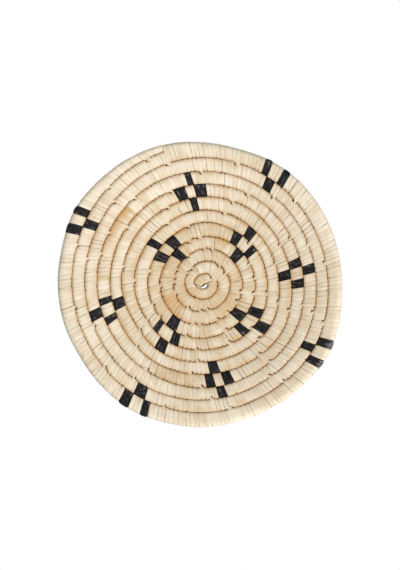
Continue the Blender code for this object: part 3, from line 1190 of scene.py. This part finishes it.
@dataclass
class BindingStitches:
    """The tongues of strip that reach over the seam and tie each round to the one inside it."""

    surface: CoilSurface
    width: float = 0.0027
    tip_share: float = 0.85
    columns: int = 8
    rows: int = 5
    half_pitch: float = 0.0065
    root: float = 0.0036
    past_dip: float = 0.0004
    drift: float = 0.0004
    slant: float = 0.0005
    rise: float = 0.00040
    root_depth: float = 0.0005
    tip_depth: float = 0.0003
    depth: float = 0.0025
    broad_share: float = 0.3
    broad: Pair = (1.4, 1.9)
    slim: Pair = (0.8, 1.1)
    thickness: float = 0.00035
    hole_length: float = 0.00098
    hole_width: float = 0.00066
    hole_height: float = 0.0003
    hole_turn: float = -1.25
    hole_places: tuple[Pair, Pair] = ((-0.62, -0.0003), (0.38, 0.0004))
    short_of_dip: float = 0.0002
    second_hole: Pair = (0.5, 0.9)
    square_clearance: float = 0.0016
    tongue_gold: float = 0.18
    rounds: tuple[tuple[int, tuple[float, ...]], ...] = (
        (1, (336.4, 306, 239, 217)),
        (2, (287, 272, 237, 207, 195, 185, 165, 124, 101, 85)),
        (3, (355, 336.4, 264, 253, 176, 106, 94, 68, 52, 37, 17)),
        (4, (322, 255, 192, 160, 133, 109, 68, 14)),
        (5, (344, 287, 240, 183, 148, 96, 68, 46, 11)),
        (6, (335, 291, 243.6, 192, 144, 96, 46, 16)),
        (7, (333.6, 297.6, 255, 217.6, 138, 99, 54, 18)),
        (8, (340.6, 308.4, 269, 231, 209, 195, 125, 91, 50, 13)),
        (9, (350.4, 319, 286, 254, 223, 192, 159, 126, 86.4, 54.4, 16)),
        (10, (246, 225.6, 197.6, 170, 139.6, 109, 79, 51, 20)),
        (0, (334, 312)),
    )

    def dip(self, angle: float) -> float:
        """How far the seam is drawn inwards at the stitch at an unwound angle."""
        return self.depth * np.random.default_rng(round(angle * 10)).uniform(0.6, 1.3)

    def cut(self, dice: Dice) -> float:
        """Width of one tongue: some are broad."""
        return self.width * dice.uniform(*(self.broad if dice.random() < self.broad_share else self.slim))

    def tongue(self, angle: float, number: int, side: Side, gold: float, width: float, dice: Dice) -> Piece:
        """Models one tongue on one face.

        Args:
            angle: Its unwound angle.
            number: The strip that it belongs to, for its tone.
            side: Front or back.
            gold: How warm its tone is.
            width: Its width.
            dice: The source of its small differences.

        Returns:
            The new object.
        """
        piece, column, row = Bench.grid(self.columns, self.rows)
        reach = self.dip(angle) + self.past_dip
        share, place = column / self.columns, row / self.rows - 0.5
        inward = -self.root + share * (self.root + reach) + self.slant * (place + 0.5) * share
        over = np.clip(inward / reach, 0, 1)
        across = place * width * (1 - (1 - self.tip_share) * over) - width * 0.12
        at = self.surface.beside(angle, across + dice.uniform(-self.drift, self.drift) * over)
        middle = 1 - (2 * place) ** 2
        lift = self.rise * eased(share, 0.1, 0.55) * (0.6 + 0.4 * middle)
        lift = lift - self.root_depth * eased(-share, -0.25, 0)
        lift = lift - (self.rise + self.tip_depth) * eased(over, 0.75, 1.0)
        Bench.place(piece, self.surface.at_seam(at, inward, side, lift))
        strip = number + 0.18 + 0.64 * row / self.rows
        lay = np.stack([strip, -1 - inward / self.half_pitch, np.full(len(share), 0.9)], axis=-1)
        # The sink paints shade along one flank and at the tip, where the tongue dips into its hole, and gives
        # the whole tongue a little of the seams' tint.
        flank_shade = eased(-place, 0.3, 0.5) * eased(inward, 0.0, 0.0012)
        sink = np.maximum(0.35, np.maximum(0.90 * flank_shade, 0.92 * eased(over, 0.8, 1.0)))
        Bench.mark(piece, lay=lay, sink=sink, gold=np.full(len(share), gold + self.tongue_gold))
        bpy.context.view_layer.objects.active = piece
        shell = piece.modifiers.new("thickness", "SOLIDIFY")
        shell.thickness = self.thickness
        shell.offset = -1.0 if side is Side.FRONT else 1.0
        bpy.ops.object.modifier_apply(modifier=shell.name)
        Bench.close(piece)
        return piece

    def hole(self, angle: float, inward: float, shift: float, side: Side, size: float, dice: Dice) -> Piece:
        """Models a small hole beside a tongue as a dark lens in the core's colour: painted shade where the
        hole lies.

        Args:
            angle: The tongue's unwound angle.
            inward: How far over the inner round the hole lies.
            shift: Its distance from the tongue's middle along the coil.
            side: Front or back.
            size: Its size as a share of a common one.
            dice: The source of its small differences.

        Returns:
            The new object.
        """
        piece, ball = Bench.ball(rings=6)
        long = self.hole_length * size * dice.uniform(0.8, 1.3)
        slim = self.hole_width * size * dice.uniform(0.8, 1.2)
        turn = self.hole_turn + dice.uniform(-0.3, 0.3)
        along = ball[:, 0] * slim * math.cos(turn) - ball[:, 1] * long * math.sin(turn)
        radial = ball[:, 0] * slim * math.sin(turn) + ball[:, 1] * long * math.cos(turn)
        at = self.surface.beside(angle, shift + along)
        lift = self.hole_height / 3 + ball[:, 2] * self.hole_height
        Bench.place(piece, self.surface.at_seam(at, inward + radial, side, lift))
        return piece


@dataclass
class CreaseShade:
    """Dark lenses round the middle opening, where the first strips are folded over the core's start: painted
    shade in the folds and on the opening's shaded wall.
    """

    height: float = 0.00025
    ray_start: float = -0.03
    plain_front: float = -0.0088
    lines: tuple[tuple[float, float, float, float, float], ...] = (
        (-0.0046, -0.0009, 0.0018, 0.0030, 0.00105),
        (-0.0010, 0.0021, 0.0088, 0.0055, 0.00045),
        (-0.0125, 0.0038, -0.0040, -0.0001, 0.00026),
    )

    def model(self, ground: Piece) -> list[Piece]:
        """Models each crease's painted shade as a thin dark lens laid on the coil's front.

        Args:
            ground: The piece that the dark lenses lie on.

        Returns:
            The new objects.
        """
        made = []
        for x0, z0, x1, z1, half_width in self.lines:
            piece, ball = Bench.ball(rings=14)
            along = np.array([x1 - x0, z1 - z0]) / 2
            normal = np.array([-along[1], along[0]]) / np.hypot(*along)
            middle = np.array([x0 + x1, z0 + z1]) / 2
            place = middle + ball[:, 2:3] * along + ball[:, 0:1] * half_width * normal
            points = []
            for (x, z), through in zip(place, ball[:, 1]):
                spine = middle + np.dot([x, z] - middle, along) / np.dot(along, along) * along
                hit, where, _, _ = ground.ray_cast((spine[0], self.ray_start, spine[1]), (0, 1, 0))
                points.append((x, (where[1] if hit else self.plain_front) + through * self.height, z))
            Bench.place(piece, np.array(points))
            made.append(piece)
        return made


@dataclass
class FrayedEnds:
    """Loose fibre ends that stand out of the rim's last dark squares."""

    surface: CoilSurface
    places: tuple[float, ...] = (10 * TURN + 26.0, 10 * TURN + 35.6)
    count: int = 9
    reach: float = 1.3
    length: float = 0.0032
    thickness: float = 0.00028
    root_depth: float = 0.0002
    seed: int = 61

    def model(self) -> list[Piece]:
        """Models each fibre as a thin cone on the rim's outer side."""
        dice = np.random.default_rng(self.seed)
        return [self.fibre(place, dice) for place in self.places for _ in range(self.count)]

    def fibre(self, place: float, dice: Dice) -> Piece:
        """Models one fibre.

        Args:
            place: The unwound angle of its square's middle.
            dice: The source of its place, way and length.

        Returns:
            The new object.
        """
        angle = np.array(place + dice.uniform(-self.reach, self.reach))
        x = np.array(dice.uniform(0.80, 0.97))
        exponent = self.surface.exponent(angle, x)
        y = (1 - x ** exponent) ** (1 / exponent)
        root = self.surface.point(angle, x, y, exponent, np.array(-self.root_depth))
        section = self.surface.path.section(angle)
        along = np.cross(section.side, section.face)
        way = section.side + section.face * dice.uniform(0.0, 0.5) + along * dice.uniform(-0.8, 0.8)
        way = way / np.linalg.norm(way)
        first = np.cross(way, (0.0, 0.0, 1.0))
        first = first / np.linalg.norm(first)
        long = self.length * dice.uniform(0.45, 1.0)
        sizes = {"vertices": 5, "radius1": self.thickness, "radius2": self.thickness / 4, "depth": long}
        piece, cone = Bench.take(bpy.ops.mesh.primitive_cone_add, **sizes)
        sideways = cone[:, 0:1] * first + cone[:, 1:2] * np.cross(way, first)
        Bench.place(piece, root + sideways + (cone[:, 2:3] + long / 2) * way)
        # Full rubbed grey with its painted highlight on the loose fibres.
        Bench.mark(piece, lay=np.full((len(cone), 3), 0.5), wear=np.full(len(cone), 1.0))
        return piece


@dataclass
class Studio:
    """Camera, soft lights, white background and a pale floor."""

    distance: float = 2.2
    rim_depth: float = 0.034
    frame_height: float = 0.598
    sensor: float = 36.0
    camera_x: float = -0.0047
    camera_z: float = 0.0014
    floor_z: float = -1.6
    floor_radius: float = 6.0
    floor_sides: int = 96
    far_limit: float = 20.0
    ambient: float = 0.44
    lamps: tuple[tuple[str, tuple[float, float, float], float, float], ...] = (
        ("key_lamp", (0.96, -1.4, -0.90), 0.8, 26.9),
        ("back_lamp", (-0.7, 1.6, 0.9), 1.2, 18.0),
    )

    def clear(self) -> None:
        """Takes the startup objects away."""
        for name in ("Cube", "Light", "Camera"):
            found = bpy.data.objects.get(name)
            if found is not None:
                bpy.data.objects.remove(found)

    def camera(self) -> None:
        """Adds the camera at the photograph's viewing angle."""
        bpy.ops.object.camera_add(location=(self.camera_x, -self.distance, self.camera_z))
        camera = bpy.context.active_object
        camera.name = "front_camera"
        camera.rotation_euler = (math.radians(90), 0, 0)
        camera.data.sensor_width = self.sensor
        camera.data.lens = self.sensor * (self.distance - self.rim_depth) / self.frame_height
        camera.data.clip_end = self.far_limit
        bpy.context.scene.camera = camera

    def lights(self) -> None:
        """Adds the soft round lamps, which point at the plate, and an even white surround."""
        for name, place, size, energy in self.lamps:
            bpy.ops.object.light_add(type="AREA", location=place)
            lamp = bpy.context.active_object
            lamp.name = name
            lamp.data.shape = "DISK"
            lamp.data.size = size
            lamp.data.energy = energy
            lamp.rotation_euler = (-lamp.location).to_track_quat("-Z", "Y").to_euler()
        world = bpy.data.worlds.new("white_surround")
        world.use_nodes = True
        bpy.context.scene.world = world
        sheet = NodeSheet(world.node_tree)
        seen = sheet.node("ShaderNodeLightPath", {}, {}, "Is Camera Ray")
        for other in sheet.more(seen, "Is Glossy Ray", "Is Transmission Ray"):
            seen = seen.at_least(other)
        strength = seen * (1 - self.ambient) + self.ambient
        surround = sheet.node("ShaderNodeBackground", {}, {"Color": (1, 1, 1, 1), "Strength": strength})
        sheet.node("ShaderNodeOutputWorld", {}, {"Surface": surround})

    def floor(self) -> None:
        """Adds the floor under the plate."""
        Bench.clear_selection()
        sides, radius = self.floor_sides, self.floor_radius
        bpy.ops.mesh.primitive_circle_add(vertices=sides, radius=radius, fill_type="NGON")
        floor = bpy.context.active_object
        floor.name = "floor"
        bpy.ops.object.mode_set(mode="EDIT")
        bpy.ops.mesh.select_all(action="SELECT")
        bpy.ops.mesh.inset(thickness=radius / 2)
        bpy.ops.object.mode_set(mode="OBJECT")
        floor.location = (0, 0, self.floor_z)
        floor.data.materials.append(FloorFinish().build("pale_floor"))

    def build(self) -> None:
        """Sets the studio up."""
        self.camera()
        self.lights()
        self.floor()
        bpy.context.scene.view_settings.view_transform = "Standard"


@dataclass
class WallPlate:
    """The whole plate: wrapped coil, dark squares, binding stitches, painted crease shade and frayed ends."""

    layout: StripLayout
    coil: WrappedCoil
    stitches: BindingStitches
    sharp_angle: float = 55.0
    seed: int = 5

    def dress(self, piece: Piece, material: bpy.types.Material, slot: Slot, *nodes: str) -> None:
        """Hands a finished piece to the frame.

        Args:
            piece: The piece.
            material: Its finish.
            slot: The record's slot for it; not used.
            nodes: The CAD nodes that it stands for.
        """
        Bench.finish(piece, material, self.sharp_angle)
        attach(piece, BODY)
        if nodes:
            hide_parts(*nodes)
        LOG.info("%s: %d faces", piece.name, len(piece.data.polygons))

    def wraps(self, light: bpy.types.Material, dark: bpy.types.Material) -> None:
        """Models every wrapped stretch.

        Args:
            light: The light strips' finish.
            dark: The dark strips' finish.
        """
        stretches = self.layout.stretches()
        limits = [-math.inf, *self.layout.joins(), math.inf]
        for number, (low, high) in enumerate(zip(limits, limits[1:]), start=1):
            mine = [s for s in stretches if low <= s.start < high and s.kind is Wrap.LIGHT]
            piece = Bench.join(f"light_strips_turn_{number:02d}", [self.coil.bar(s) for s in mine])
            self.dress(piece, light, Slot.LIGHT, f"light_wrap_turn_{number:02d}")
        for stretch in stretches:
            if stretch.kind is Wrap.DARK:
                piece = Bench.join(f"dark_strips_{stretch.name}", [self.coil.bar(stretch)])
                self.dress(piece, dark, Slot.DARK, f"dark_wrap_{stretch.name}")

    def ties(self, light: bpy.types.Material, core: bpy.types.Material) -> None:
        """Models the binding stitches and the painted shade of the holes beside them, turn by turn.

        Args:
            light: The light strips' finish.
            core: The core's finish.
        """
        stitches = self.stitches
        dice = np.random.default_rng(self.seed)
        places = self.layout.stitch_places(stitches.rounds, stitches.square_clearance)
        for count, _ in stitches.rounds:
            tongues, holes = [], []
            for _, angle, number in (place for place in places if place[0] == count):
                gold = float(self.coil.warmth(self.coil.surface.path.radius_at(angle)))
                dip = stitches.dip(angle)
                for side in Side:
                    width = stitches.cut(dice)
                    tongues.append(stitches.tongue(angle, number, side, gold, width, dice))
                    before, after = (share * width + apart for share, apart in stitches.hole_places)
                    holes.append(stitches.hole(angle, dip - stitches.short_of_dip, before, side, 1.0, dice))
                    size = dice.uniform(*stitches.second_hole)
                    holes.append(stitches.hole(angle, 0.0, after, side, size, dice))
            self.dress(Bench.join(f"binding_stitches_turn_{count:02d}", tongues), light, Slot.LIGHT)
            self.dress(Bench.join(f"stitch_hole_shade_turn_{count:02d}", holes), core, Slot.CORE)

    def build(self) -> None:
        """Models and dresses the plate."""
        light = LightStripFinish().build("light_strips")
        dark = DarkStripFinish().build("dark_strips")
        core = CoreFibreFinish().build("core_fibres")
        self.wraps(light, dark)
        self.ties(light, core)
        crease_shade = CreaseShade().model(bpy.data.objects["light_strips_turn_01"])
        self.dress(Bench.join("middle_crease_shade", crease_shade), core, Slot.CORE)
        frayed = FrayedEnds(self.coil.surface).model()
        self.dress(Bench.join("frayed_ends", frayed), dark, Slot.DARK)
        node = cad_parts["coil_core"]
        node.data.materials.clear()
        node.data.materials.append(core)


def main() -> None:
    """Builds the plate and its studio."""
    logging.basicConfig(level=logging.INFO, format="%(message)s")
    studio = Studio()
    studio.clear()
    # The stitches stand at borders of the even path; the real path dips at each of them.
    even = CoilPath()
    ties = BindingStitches(CoilSurface(even))
    places = StripLayout(even).stitch_places(ties.rounds, ties.square_clearance)
    path = CoilPath(dips=[(angle, ties.dip(angle)) for _, angle, _ in places])
    golden = (
        GoldenPatch(7 * TURN + 180, 7 * TURN + 226, 0.30, 1.2, 0.7),
        GoldenPatch(2 * TURN + 118, 2 * TURN + 172, 0.75, 0.75, 0.3, 20),
        GoldenPatch(7 * TURN + 88, 7 * TURN + 128, 0.6, 0.5, 0.0, 10),
    )
    WallPlate(StripLayout(path), WrappedCoil(CoilSurface(path), golden=golden), ties).build()
    studio.build()


if __name__ == "__main__":
    main()
